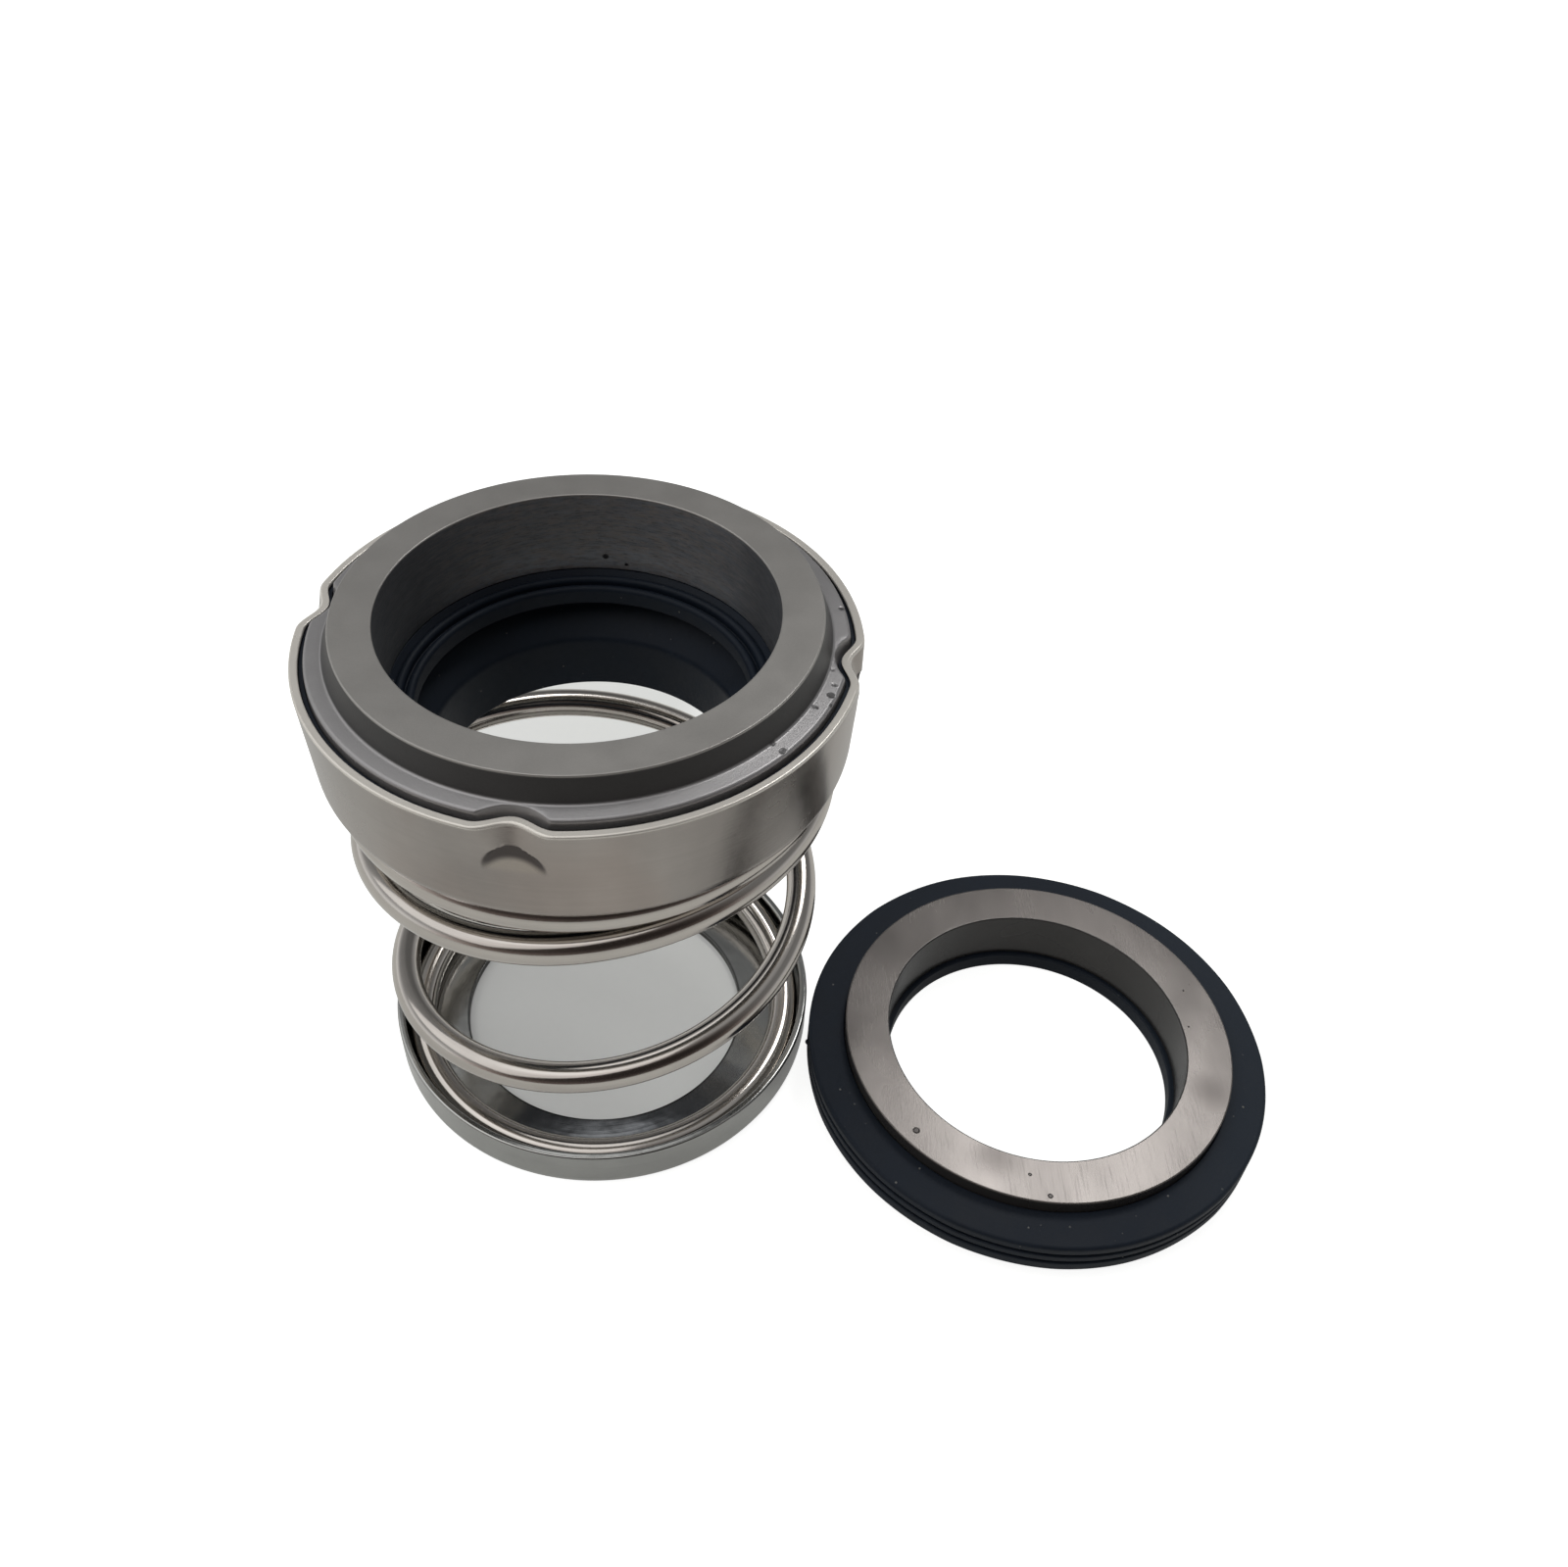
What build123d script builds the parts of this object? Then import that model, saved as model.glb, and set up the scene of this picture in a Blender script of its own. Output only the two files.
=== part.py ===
from build123d import *
from math import asin, atan2, cos, degrees, radians, sin
import os

# Single-spring elastomer bellows shaft seal: the rotary unit stands on its spring seat and the
# stationary seat lies beside it. Millimetres, +Z up along the seal axis, origin at the centre of
# the spring seat's underside.

# --- shaft and general ----------------------------------------------------------------------
shaft_r = 15.0  # shaft that the bellows tail grips
fit_gap = 0.05  # assembly gap between faces that seat on each other

# --- spring seat, a pressed L-section ring --------------------------------------------------
holder_r = 23.5  # outside of the upturned wall
holder_wall_h = 5.3
holder_hole_gap = 0.8  # hole to the shaft
holder_sheet = 0.8
holder_bend = 1.5  # outside bend radius
holder_edge = 0.25  # rounding of the rim
holder_hole_edge = 0.1  # rounding of the hole's upper edge

# --- spring ---------------------------------------------------------------------------------
wire_d = 3.1
coil_wall_gap = 0.2  # bottom turn to the spring seat's wall
coil_top_inset = 2.55  # wire centre of the top turn in from the retainer's wall
coil_h = 41.1  # over the wire of the active turns
rise_start = -15.0  # angle where the wire leaves the flat bottom turn
rise_end = 690.0  # angle where it meets the closed top turn
bottom_flat = 275.0  # degrees of closed bottom turn
top_closed = 360.0  # degrees of closed top turn, which lies on the turn below it
closed_gap = 0.1  # between the two
rise_ease = 0.08  # share of the rise spent easing in and out of the pitch
path_step = 30.0  # degrees between the points of the path
ground_off = 0.5  # ground from the top turn's end to make it flat

# --- retainer, a drawn cup with pressed drive dents -------------------------------------------
retainer_sheet = 0.8
retainer_flare = 0.6  # growth of the wall's radius up to the rim
retainer_h = 11.0
retainer_corner = 1.8  # outside corner radius
retainer_hole_gap = 0.25  # round the convolution of the bellows
rim_round = 0.55
hole_round = 0.2

dent_count = 4
dent_phase = -97.5  # degrees, first dent
dent_depth = 1.3  # at the rim
dent_reach = 3.0  # length down the wall over which a dent fades out
dent_r = 3.4  # radius of the pressed channel
dent_blend = 2.0  # outside blend from the wall into the channel
stake_r = 2.75  # half-moon stake under each dent
stake_depth = 0.5
stake_h = 2.9
stake_below_rim = 1.75  # rim to the top of its arch

# --- rotating face ring -------------------------------------------------------------------------
face_over_rim = 3.0  # sealing face above the retainer's rim
ring_h = 8.8
ring_bore_gap = 3.2  # bore to the shaft
face_w = 3.8  # width of the sealing face
nose_flank_w = 0.9  # spread of the conical flank
shoulder_w = 1.7
nose_h = 2.35
nose_fillet = 0.3
shoulder_gap = 0.45  # rubber line between ring and retainer rim
shoulder_drop = 0.15
shoulder_round = 0.35
land_h = 2.7  # full-diameter land below the shoulder
ring_back_step = 1.4  # back is this much smaller than the land
ring_edge = 0.15  # broken edges of the faces
notch_gap = 0.4  # rubber between dent and notch

# --- bellows --------------------------------------------------------------------------------------
sleeve_below_rim = 0.45
lip_h = 2.6  # back of the face ring to the foot of the lip
bead_inset = 0.9  # crest of the upper bead in from the ring's bore
bead_round = 0.45
bead_drop = 0.3  # crest below the ring's back
bead_step = 0.45  # drop to the second bead, at the lip
lip_gap = 0.8  # lip to the shaft
fold_w = 1.8  # inside width of the convolution
fold_depth = 2.1  # lip to the convolution's inside crest
fold_slope = 45.0  # of the funnel from the convolution to the tail
fold_wall = 1.35
tail_wall = 1.8
tail_l = 7.4  # tail below the retainer
tail_round = 0.3
funnel_round = 1.0

# --- drive band -------------------------------------------------------------------------------------
band_sheet = 0.8
band_h = 3.35
band_flange = 1.7
band_foot = 1.5  # above the end of the tail

# --- stationary seat: hard ring in a ribbed rubber boot -----------------------------------------------
beside_gap = 0.6  # between the boot and the spring seat
beside_angle = -9.3  # degrees, where the seat lies
stat_h = 8.1  # sealing face above the boot's underside
stat_bore_gap = 1.2  # bore to the shaft
stat_ring_w = 4.8  # width of the hard ring
stat_edge = 0.12
boot_floor = 1.9  # rubber under the ring
boot_wall = 4.0  # rubber outside the ring
boot_shoulder_z = 6.3
boot_crown = 0.25  # rise of the shoulder towards the ring
boot_taper_w = 2.4
boot_taper_h = 2.3
boot_round = 0.4
rib_count = 3
rib_pitch = 1.3
groove_w = 0.45
groove_depth = 0.5

# --- sizes that follow from those above ------------------------------------------------------------------
wire_r = wire_d / 2
holder_hole_r = shaft_r + holder_hole_gap
ring_bore_r = shaft_r + ring_bore_gap
nose_r = ring_bore_r + face_w
nose_root_r = nose_r + nose_flank_w
ring_r = nose_root_r + shoulder_w
ring_back_r = ring_r - ring_back_step
rim_r = ring_r + shoulder_gap + retainer_sheet
retainer_r = rim_r - retainer_flare
lip_r = shaft_r + lip_gap
bead_r = ring_bore_r - bead_inset
fold_r = lip_r + fold_depth
stat_bore_r = shaft_r + stat_bore_gap
stat_ring_r = stat_bore_r + stat_ring_w
boot_r = stat_ring_r + boot_wall
boot_base_r = boot_r - boot_taper_w
stat_x = (holder_r + boot_r + beside_gap) * cos(radians(beside_angle))
stat_y = (holder_r + boot_r + beside_gap) * sin(radians(beside_angle))
coil_bottom_r = holder_r - holder_sheet - coil_wall_gap - wire_r
coil_bottom_z = holder_sheet + fit_gap + wire_r
coil_top_r = retainer_r - coil_top_inset
coil_top_z = coil_bottom_z + coil_h - wire_d
closed_rise = (wire_d + closed_gap) * top_closed / 360
spring_top_z = coil_top_z + closed_rise + wire_r - ground_off
retainer_z = spring_top_z + fit_gap
retainer_floor_z = retainer_z + retainer_sheet
rim_z = retainer_z + retainer_h
face_z = rim_z + face_over_rim
ring_z = face_z - ring_h
shoulder_z = face_z - nose_h
tail_r = shaft_r + tail_wall
tail_z = retainer_z - tail_l


def wall_r(z):
    """Outside radius of the flared wall at height z."""
    return retainer_r + retainer_flare * (z - retainer_z) / retainer_h


# === spring seat ===========================================================================================
with BuildPart() as spring_seat:
    with BuildSketch(Plane.XZ):
        with BuildLine():
            Polyline(
                (holder_hole_r, 0),
                (holder_r, 0),
                (holder_r, holder_wall_h),
                (holder_r - holder_sheet, holder_wall_h),
                (holder_r - holder_sheet, holder_sheet),
                (holder_hole_r, holder_sheet),
                close=True,
            )
        make_face()
        fillet(vertices().sort_by_distance((holder_r, 0))[0], radius=holder_bend)
        fillet(
            vertices().sort_by_distance((holder_r - holder_sheet, holder_sheet))[0],
            radius=holder_bend - holder_sheet,
        )
        fillet(vertices().group_by(Axis.Y)[-1], radius=holder_edge)
        fillet(vertices().sort_by_distance((holder_hole_r, holder_sheet))[0], radius=holder_hole_edge)
    revolve(axis=Axis.Z)
spring_seat.part.label = "spring_seat"


# === spring ==================================================================================================
def rise(turn):
    """Share of the spring's rise reached at an angle: level, eased into an even pitch, level again."""
    s = min(max((turn - rise_start) / (rise_end - rise_start), 0.0), 1.0)
    if s < rise_ease:
        return s * s / (2 * rise_ease * (1 - rise_ease))
    if s > 1 - rise_ease:
        return 1 - (1 - s) ** 2 / (2 * rise_ease * (1 - rise_ease))
    return (s - rise_ease / 2) / (1 - rise_ease)


def coil_point(turn):
    """Centre of the wire at an angle in degrees."""
    share = rise(turn)
    r = coil_bottom_r + (coil_top_r - coil_bottom_r) * share
    z = coil_bottom_z + (coil_top_z - coil_bottom_z) * share
    z += closed_rise * max(turn - rise_end, 0) / top_closed
    return (r * cos(radians(turn)), r * sin(radians(turn)), z)


first_turn = rise_start - bottom_flat
last_turn = rise_end + top_closed
path_spans = round((last_turn - first_turn) / path_step)
turns = [first_turn + (last_turn - first_turn) * i / path_spans for i in range(path_spans + 1)]

with BuildPart() as spring:
    with BuildLine() as wire_path:
        Spline(*[coil_point(t) for t in turns])
    with BuildSketch(Plane(origin=wire_path.line @ 0, z_dir=wire_path.line % 0)):
        Circle(wire_r)
    sweep()
    split(bisect_by=Plane.XY.offset(spring_top_z), keep=Keep.BOTTOM)
spring.part.label = "spring"

# === retainer ==================================================================================================
# The channel of a dent is a cylinder that leans away from the wall as it goes down, so the dent is
# deepest at the rim. The same cylinder, grown by a thickness, cuts whatever lies inside the sheet.
dent_foot_z = rim_z - dent_reach
dent_rim_x = rim_r - dent_depth + dent_r
dent_foot_x = wall_r(dent_foot_z) + dent_r
dent_lean = degrees(atan2(dent_foot_x - dent_rim_x, dent_reach))
dent_mid_x = (dent_rim_x + dent_foot_x) / 2
dent_mid_z = (rim_z + dent_foot_z) / 2
dent_tool_h = 4 * dent_reach

# Half section of everything that carries dents, midway between two of them.
section_angle = radians(dent_phase + 180 / dent_count)
section_x = (cos(section_angle), sin(section_angle), 0)
section_z = (sin(section_angle), -cos(section_angle), 0)
section = Plane(origin=(0, 0, 0), x_dir=section_x, z_dir=section_z)


def cut_dents(grown):
    """Cut the channels, grown outwards by the given thickness, from the part being built."""
    with PolarLocations(0, dent_count, start_angle=dent_phase):
        with Locations(Location((dent_mid_x, 0, dent_mid_z), (0, -dent_lean, 0))):
            Cylinder(dent_r + grown, dent_tool_h, mode=Mode.SUBTRACT)


def dent_edges():
    """Edges where the channels leave the flared wall."""
    return edges().filter_by(GeomType.BSPLINE)


# Half-moon stake: a round tool whose flat end leans into the sheet at the top of its arch.
stake_top_z = rim_z - stake_below_rim
stake_foot_z = stake_top_z - stake_h
stake_top = Vector(wall_r(stake_top_z) - stake_depth, 0, stake_top_z)
stake_foot = Vector(wall_r(stake_foot_z), 0, stake_foot_z)
stake_up = (stake_top - stake_foot).normalized()
stake_out = Vector(0, 1, 0).cross(stake_up)
stake_plane = Plane(origin=stake_top - stake_up * stake_r, x_dir=stake_up, z_dir=stake_out)

with BuildPart() as stake_tool:
    with BuildSketch(stake_plane):
        Circle(stake_r)
    extrude(amount=stake_r)

with BuildPart() as retainer_inside:
    with BuildSketch(section):
        with BuildLine():
            Polyline(
                (0, retainer_floor_z),
                (retainer_r - retainer_sheet, retainer_floor_z),
                (rim_r - retainer_sheet, rim_z),
                (0, rim_z),
                close=True,
            )
        make_face()
        fillet(
            vertices().sort_by_distance((retainer_r - retainer_sheet, retainer_floor_z))[0],
            radius=retainer_corner - retainer_sheet,
        )
    revolve(axis=Axis.Z)
    cut_dents(retainer_sheet)
    fillet(dent_edges(), radius=dent_blend - retainer_sheet)

with BuildPart() as retainer:
    with BuildSketch(section):
        with BuildLine():
            Polyline(
                (0, retainer_z),
                (retainer_r, retainer_z),
                (rim_r, rim_z),
                (0, rim_z),
                close=True,
            )
        make_face()
        fillet(vertices().sort_by_distance((retainer_r, retainer_z))[0], radius=retainer_corner)
    revolve(axis=Axis.Z)
    cut_dents(0)
    fillet(dent_edges(), radius=dent_blend)
    fillet(faces().sort_by(Axis.Z)[-1].edges(), radius=rim_round)
    add(retainer_inside.part, mode=Mode.SUBTRACT)
    with PolarLocations(0, dent_count, start_angle=dent_phase):
        add(stake_tool.part, mode=Mode.SUBTRACT)
    with Locations((0, 0, retainer_z)):
        Hole(fold_r + fold_wall + retainer_hole_gap, depth=2 * retainer_sheet, mode=Mode.SUBTRACT)
    fillet(edges().group_by(Axis.Z)[0].sort_by(SortBy.RADIUS)[0], radius=hole_round)
retainer.part.label = "retainer"

# === rotating face ring =====================================================================================
land_z = shoulder_z - shoulder_drop - land_h
waist_z = land_z - (ring_r - ring_back_r)
with BuildPart() as face_ring:
    with BuildSketch(section):
        with BuildLine():
            Polyline(
                (ring_bore_r, ring_z),
                (ring_back_r, ring_z),
                (ring_back_r, waist_z),
                (ring_r, land_z),
                (ring_r, shoulder_z - shoulder_drop),
                (nose_root_r, shoulder_z),
                (nose_r, face_z),
                (ring_bore_r, face_z),
                close=True,
            )
        make_face()
        fillet(vertices().sort_by_distance((ring_r, shoulder_z - shoulder_drop))[0], radius=shoulder_round)
        fillet(vertices().sort_by_distance((nose_root_r, shoulder_z))[0], radius=nose_fillet)
        chamfer(vertices().group_by(Axis.Y)[-1], length=ring_edge)
        chamfer(vertices().group_by(Axis.Y)[0], length=ring_edge)
    revolve(axis=Axis.Z)
    cut_dents(retainer_sheet + notch_gap)
face_ring.part.label = "face_ring"

# === bellows ====================================================================================================
# Sleeve round the ring, web between it and the retainer's floor with two beads inside the ring's
# bore, one convolution that opens inwards, then a funnel down to the tail that grips the shaft.
sleeve_gap = retainer_sheet + fit_gap
sleeve_top = rim_z - sleeve_below_rim
lip_z = ring_z - lip_h
web_z = retainer_floor_z + fit_gap
bead_z = ring_z - bead_drop - bead_round
step_z = bead_z - bead_step
fold_in = fold_w / 2
fold_out = fold_in + fold_wall
fold_x = fold_r - fold_in
fold_z = lip_z - fold_in
web_angle = asin((web_z - fold_z) / fold_out)
web_x = fold_x + fold_out * cos(web_angle)
fold_mid_angle = (web_angle - radians(fold_slope)) / 2
fold_mid = (fold_x + fold_out * cos(fold_mid_angle), fold_z + fold_out * sin(fold_mid_angle))
slope_x = sin(radians(fold_slope))
slope_z = cos(radians(fold_slope))
funnel_in = (fold_x + fold_in * slope_x, fold_z - fold_in * slope_z)
funnel_out = (fold_x + fold_out * slope_x, fold_z - fold_out * slope_z)
funnel_in_z = funnel_in[1] - (funnel_in[0] - shaft_r) * slope_x / slope_z
funnel_out_z = funnel_out[1] - (funnel_out[0] - tail_r) * slope_x / slope_z

with BuildPart() as ring_space:
    with BuildSketch(section):
        with BuildLine():
            Polyline(
                (0, ring_z - fit_gap),
                (ring_back_r + fit_gap, ring_z - fit_gap),
                (ring_back_r + fit_gap, waist_z),
                (ring_r + fit_gap, land_z),
                (ring_r + fit_gap, rim_z),
                (0, rim_z),
                close=True,
            )
        make_face()
    revolve(axis=Axis.Z)
    cut_dents(retainer_sheet + notch_gap - fit_gap)

with BuildPart() as bellows:
    with BuildSketch(section):
        with BuildLine():
            Polyline(
                (lip_r, step_z),
                (lip_r, lip_z),
                (fold_x, lip_z),
            )
            ThreePointArc((fold_x, lip_z), (fold_r, fold_z), funnel_in)
            Polyline(
                funnel_in,
                (shaft_r, funnel_in_z),
                (shaft_r, tail_z),
                (tail_r, tail_z),
                (tail_r, funnel_out_z),
                funnel_out,
            )
            ThreePointArc(funnel_out, fold_mid, (web_x, web_z))
            Polyline(
                (web_x, web_z),
                (wall_r(web_z) - sleeve_gap, web_z),
                (wall_r(sleeve_top) - sleeve_gap, sleeve_top),
                (ring_bore_r, sleeve_top),
                (ring_bore_r, ring_z - fit_gap),
                (bead_r + bead_round, bead_z),
            )
            ThreePointArc(
                (bead_r + bead_round, bead_z),
                (bead_r, bead_z + bead_round),
                (bead_r - bead_round, bead_z),
            )
            Polyline(
                (bead_r - bead_round, bead_z),
                (bead_r - bead_round, step_z),
                (lip_r + 2 * bead_round, step_z),
            )
            ThreePointArc(
                (lip_r + 2 * bead_round, step_z),
                (lip_r + bead_round, step_z + bead_round),
                (lip_r, step_z),
            )
        make_face()
        fillet(vertices().sort_by_distance((shaft_r, funnel_in_z))[0], radius=funnel_round)
        fillet(
            vertices().sort_by_distance((wall_r(web_z) - sleeve_gap, web_z))[0],
            radius=retainer_corner - retainer_sheet,
        )
        fillet(vertices().group_by(Axis.Y)[0], radius=tail_round)
    revolve(axis=Axis.Z)
    cut_dents(sleeve_gap)
    fillet(dent_edges(), radius=dent_blend - sleeve_gap)
    add(ring_space.part, mode=Mode.SUBTRACT)
bellows.part.label = "bellows"

# === drive band ====================================================================================================
band_r = tail_r + fit_gap
band_z = tail_z + band_foot
with BuildPart() as drive_band:
    with BuildSketch(section):
        with BuildLine():
            Polyline(
                (band_r, band_z),
                (band_r + band_sheet, band_z),
                (band_r + band_sheet, band_z + band_h - band_sheet),
                (band_r + band_sheet + band_flange, band_z + band_h - band_sheet),
                (band_r + band_sheet + band_flange, band_z + band_h),
                (band_r, band_z + band_h),
                close=True,
            )
        make_face()
        fillet(vertices().sort_by_distance((band_r, band_z + band_h))[0], radius=band_sheet / 2)
    revolve(axis=Axis.Z)
drive_band.part.label = "drive_band"

# === stationary seat ==================================================================================================
stat_plane = Plane(origin=(stat_x, stat_y, 0), x_dir=(1, 0, 0), z_dir=(0, -1, 0))
stat_axis = Axis((stat_x, stat_y, 0), (0, 0, 1))

with BuildPart() as stationary_ring:
    with BuildSketch(stat_plane):
        with Locations(((stat_bore_r + stat_ring_r) / 2, (boot_floor + stat_h) / 2)):
            Rectangle(stat_ring_r - stat_bore_r, stat_h - boot_floor)
        chamfer(vertices(), length=stat_edge)
    revolve(axis=stat_axis)
stationary_ring.part.label = "stationary_ring"

groove_zs = [boot_shoulder_z - rib_pitch * i for i in range(1, rib_count)]
with BuildPart() as seat_boot:
    with BuildSketch(stat_plane):
        with BuildLine():
            Polyline(
                (stat_bore_r, 0),
                (boot_base_r, 0),
                (boot_r, boot_taper_h),
                (boot_r, boot_shoulder_z),
                (stat_ring_r + fit_gap, boot_shoulder_z + boot_crown),
                (stat_ring_r + fit_gap, boot_floor),
                (stat_bore_r, boot_floor),
                close=True,
            )
        make_face()
        fillet(vertices().sort_by_distance((boot_r, boot_shoulder_z))[0], radius=boot_round)
        fillet(vertices().sort_by_distance((boot_r, boot_taper_h))[0], radius=boot_round)
        with Locations(*[(boot_r, z) for z in groove_zs]):
            Rectangle(2 * groove_depth, groove_w, mode=Mode.SUBTRACT)
    revolve(axis=stat_axis)
seat_boot.part.label = "seat_boot"

# === files ==============================================================================================================
os.makedirs("parts", exist_ok=True)
for piece in (spring_seat, spring, retainer, face_ring, bellows, drive_band, stationary_ring, seat_boot):
    export_step(piece.part, f"parts/{piece.part.label}.step")
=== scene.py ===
from math import pi, radians

import bpy
import numpy as np
from bpy.props import FloatProperty, FloatVectorProperty, PointerProperty
from bpy.types import Operator, Panel, PropertyGroup
from mathutils import Matrix, Vector


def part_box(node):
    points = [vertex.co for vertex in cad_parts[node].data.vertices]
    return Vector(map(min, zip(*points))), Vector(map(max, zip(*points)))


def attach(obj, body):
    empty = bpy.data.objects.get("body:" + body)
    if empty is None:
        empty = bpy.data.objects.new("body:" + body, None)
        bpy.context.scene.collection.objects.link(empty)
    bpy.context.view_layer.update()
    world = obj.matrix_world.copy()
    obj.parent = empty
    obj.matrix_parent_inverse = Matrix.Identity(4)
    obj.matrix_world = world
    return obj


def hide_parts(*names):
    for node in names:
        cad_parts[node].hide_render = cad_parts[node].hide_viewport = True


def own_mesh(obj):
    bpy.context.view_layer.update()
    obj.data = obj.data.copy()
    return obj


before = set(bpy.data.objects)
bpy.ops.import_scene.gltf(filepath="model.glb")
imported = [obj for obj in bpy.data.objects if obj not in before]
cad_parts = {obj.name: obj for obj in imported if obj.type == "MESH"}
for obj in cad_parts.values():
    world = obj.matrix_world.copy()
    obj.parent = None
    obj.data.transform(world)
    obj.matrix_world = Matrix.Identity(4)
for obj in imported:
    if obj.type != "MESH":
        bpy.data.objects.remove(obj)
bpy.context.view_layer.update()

bl_info = {
    "name": "Component mechanical seal",
    "version": (1, 0, 0),
    "blender": (4, 5, 0),
    "location": "View3D > Sidebar > Seal",
    "description": "Dresses a single-spring bellows seal and its stationary seat",
    "category": "Object",
}

MM = 0.001
FIT = 0.05 * MM  # gap between the bellows and what it touches
GUARD = 0.03 * MM  # support loops stand this far from a rounded corner

SHAFT_R = 15.0 * MM
SEAT_HOLE_R = SHAFT_R + 0.8 * MM
FACE_BORE_R = 18.2 * MM
FACE_R = 22.0 * MM
SHOULDER_R = 22.9 * MM
RING_BORE_R = 16.2 * MM
RING_R = 21.0 * MM
SEAT_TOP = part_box("spring_seat")[1]
RETAINER_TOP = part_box("retainer")[1]
RETAINER_R = RETAINER_TOP.x + 0.01 * MM  # of the wall carried up to the rim, which is rounded
RETAINER_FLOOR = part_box("retainer")[0].z
SPRING_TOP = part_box("spring")[1].z
FACE_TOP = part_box("face_ring")[1].z
FACE_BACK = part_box("face_ring")[0].z
TAIL_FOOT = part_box("bellows")[0].z
BOOT_LOW, BOOT_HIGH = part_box("seat_boot")
STAT_CENTRE = np.array([(BOOT_LOW.x + BOOT_HIGH.x) / 2, (BOOT_LOW.y + BOOT_HIGH.y) / 2])
STAT_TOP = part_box("stationary_ring")[1].z
BOOT_R = 25.0 * MM
DENT_ANGLES = np.radians(-97.5 + 90.0 * np.arange(4))


def size(label, note, value):
    """A length in metres that a user may change."""
    return FloatProperty(name=label, description=note, default=value, min=0.0, unit="LENGTH", precision=5)


def share(label, note, value):
    """A number from nought to one."""
    return FloatProperty(name=label, description=note, default=value, min=0.0, max=1.0, subtype="FACTOR")


def power(label, note, value):
    """The power of a lamp."""
    return FloatProperty(name=label, description=note, default=value, min=0.0, unit="POWER")


def tint(label, note, value):
    """A linear colour."""
    return FloatVectorProperty(
        name=label, description=note, default=value, size=3, min=0.0, max=1.0, subtype="COLOR"
    )


# ------------------------------------------------------------------------------ settings


class SealSpringSettings(PropertyGroup):
    """Sizes and finish of the spring"""

    wire_r: size("Wire radius", "Radius of the spring wire", 1.55 * MM)
    bottom_r: size("Bottom turn", "Centreline radius of the turn in the spring seat", 20.95 * MM)
    top_r: size("Top turn", "Centreline radius of the turns under the retainer", 22.7 * MM)
    coil_h: size("Coil height", "Height over the wire of the active turns", 41.1 * MM)
    closed_rise: size("Closed turn", "Rise of the closed turn that lies on them", 3.2 * MM)
    bottom_z: size("Lowest wire centre", "Height of the bottom turn's centreline", 2.4 * MM)
    colour: tint("Wire", "Drawn wire", (0.58, 0.54, 0.50))
    roughness: share("Roughness", "Roughness of the drawn wire", 0.16)


class SealSheetSettings(PropertyGroup):
    """Sizes and finish of the pressed sheet pieces"""

    sheet: size("Sheet", "Thickness of the pressed sheet", 0.8 * MM)
    corner: size("Corner", "Outside radius of the retainer's drawn corner", 1.8 * MM)
    flare: size("Flare", "Growth of the retainer's wall up to its rim", 0.6 * MM)
    dent_depth: size("Dent depth", "Depth of a drive dent at the rim", 1.3 * MM)
    dent_reach: size("Dent reach", "Length of a dent down the wall", 3.0 * MM)
    dent_half_w: size("Dent half width", "Half width of a dent at the rim with its blends", 3.62 * MM)
    stake_r: size("Stake radius", "Radius of the half-moon stake", 2.75 * MM)
    stake_drop: size("Stake drop", "Rim to the top of the stake's arch", 1.75 * MM)
    stake_h: size("Stake height", "Length of the stake's ramp", 2.9 * MM)
    colour: tint("Sheet", "Satin stainless sheet", (0.38, 0.35, 0.325))
    seat_colour: tint("Spring seat", "Bright stainless sheet", (0.42, 0.42, 0.405))
    roughness: share("Roughness", "Roughness of the retainer", 0.25)


class SealCarbideSettings(PropertyGroup):
    """Colours and finish of the two hard rings"""

    face: tint("Rotating face", "Lapped annulus", (0.395, 0.38, 0.358))
    # painted shade: the flank's near-black colour stands in for the shade on the cone
    flank: tint("Flank", "Ground cone round the rotating face", (0.05, 0.048, 0.047))
    shoulder: tint("Shoulder", "Ground shoulder at the rim", (0.36, 0.35, 0.35))
    bore: tint("Bore", "As-sintered bore", (0.095, 0.10, 0.11))
    seat_face: tint("Seat face", "Lapped stationary annulus", (0.17, 0.155, 0.145))
    # painted shade: the walls' near-black colour stands in for the shade they lie in
    seat_wall: tint("Seat wall", "Ground walls of the stationary ring", (0.05, 0.047, 0.045))
    roughness: share("Roughness", "Roughness of a lapped face", 0.38)


class SealRubberSettings(PropertyGroup):
    """Finish of the rubber pieces and the boot's grooves"""

    colour: tint("Rubber", "Moulded rubber", (0.0082, 0.0136, 0.0235))
    dust: tint("Dust", "Specks that lie on the rubber", (0.20, 0.20, 0.19))
    roughness: share("Roughness", "Roughness of the rubber", 0.5)
    rib_pitch: size("Rib pitch", "Distance between the boot's grooves", 1.3 * MM)


class SealStageSettings(PropertyGroup):
    """Floor, lamps and the room round the seal"""

    floor: tint("Floor", "Pale paper", (0.62, 0.63, 0.60))
    key: power("Key", "Power of the small lamp", 0.46)
    fill: power("Fill", "Power of the broad lamp", 2.7)
    horizon: share("Horizon", "Light from the horizon", 0.38)
    room: share("Room", "Light from the room above it", 0.14)
    shown: share("Shown in metal", "Share of the white backdrop that metal shows", 0.25)


# ------------------------------------------------------------------------------ surfaces


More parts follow.
